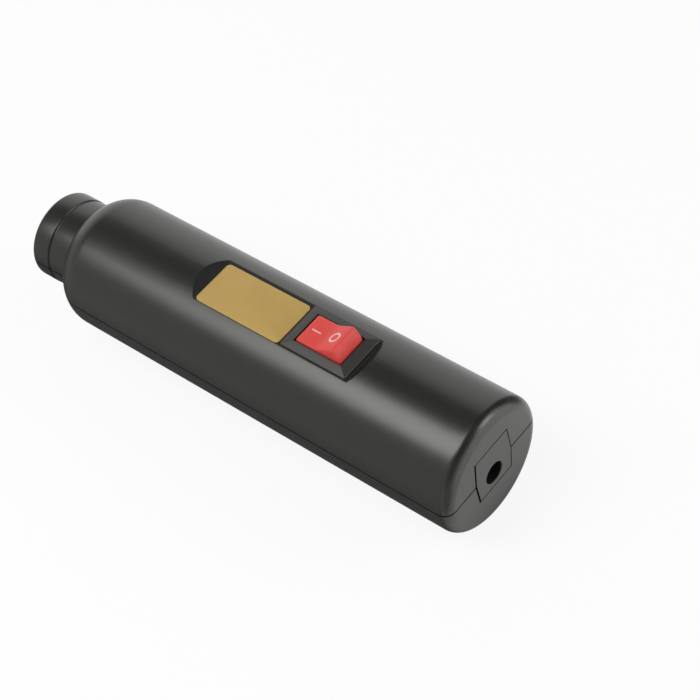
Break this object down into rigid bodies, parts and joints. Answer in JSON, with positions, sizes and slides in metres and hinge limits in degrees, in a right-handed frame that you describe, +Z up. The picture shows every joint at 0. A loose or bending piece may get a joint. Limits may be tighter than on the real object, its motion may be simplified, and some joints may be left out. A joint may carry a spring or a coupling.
{
  "type": "egg candling lamp",
  "caption": "Hand-held lamp with a round two-shell barrel, a narrow light mouth at the nose, a rocker switch beside a rating plate and a power inlet in the tail.",
  "frame": {"origin": "centre of the lamp's footprint on the plane that the lying barrel rests on", "axes": "+X along the barrel towards the tail and out of its inlet, +Z up through the switch, +Y to the right seen from the tail"},
  "size_m": [0.148, 0.037, 0.0404],
  "materials": {
    "shell": "fine satin moulded plastic",
    "switch_black": "moulded plastic",
    "rocker_red": "glossy moulded plastic",
    "gold": "satin gold-coloured metal plate",
    "rubber": "soft moulded rubber",
    "clear": "clear",
    "bright": "bright plated bowl",
    "white": "white",
    "steel": "zinc-plated",
    "aluminium": "turned",
    "brass": "stamped strip",
    "resistor": "lacquered",
    "wire_red": "insulated wire",
    "wire_black": "insulated wire"
  },
  "bodies": {
    "case": {"upper_shell": "shell", "lower_shell": "shell", "case_screws": "steel", "egg_ring": "rubber", "lens": "clear", "reflector": "bright", "led_dome": "clear", "led_base": "white", "led_board": "white", "led_screws": "steel", "solder_beads": "steel", "heat_sink": "aluminium", "rating_plate": "gold", "switch_housing": "switch_black", "pivot_terminal": "brass", "end_terminal": "brass", "tail_plate": "shell", "jack_block": "switch_black", "jack_pin": "steel", "jack_leaf": "steel", "resistor": "resistor", "wire_feed": "wire_red", "wire_switched": "wire_red", "wire_lamp": "wire_red", "wire_return": "wire_black"},
    "rocker": {"switch_rocker": "rocker_red", "switch_plunger": "white", "plunger_spring": "steel"},
    "bridge": {"contact_bridge": "brass"}
  },
  "joints": [
    {"name": "rocker_hinge", "type": "hinge", "parent": "case", "child": "rocker", "pos_m": [0.0258, 0, 0.035], "axis": [0, 1, 0], "range_deg": [0, 29]},
    {"name": "bridge_hinge", "type": "hinge", "parent": "case", "child": "bridge", "pos_m": [0.0258, 0, 0.0247], "axis": [0, 1, 0], "range_deg": [-16, 0]}
  ],
  "couplings": [
    {"joint": "bridge_hinge", "follows": "rocker_hinge", "ratio": -0.5517}
  ]
}
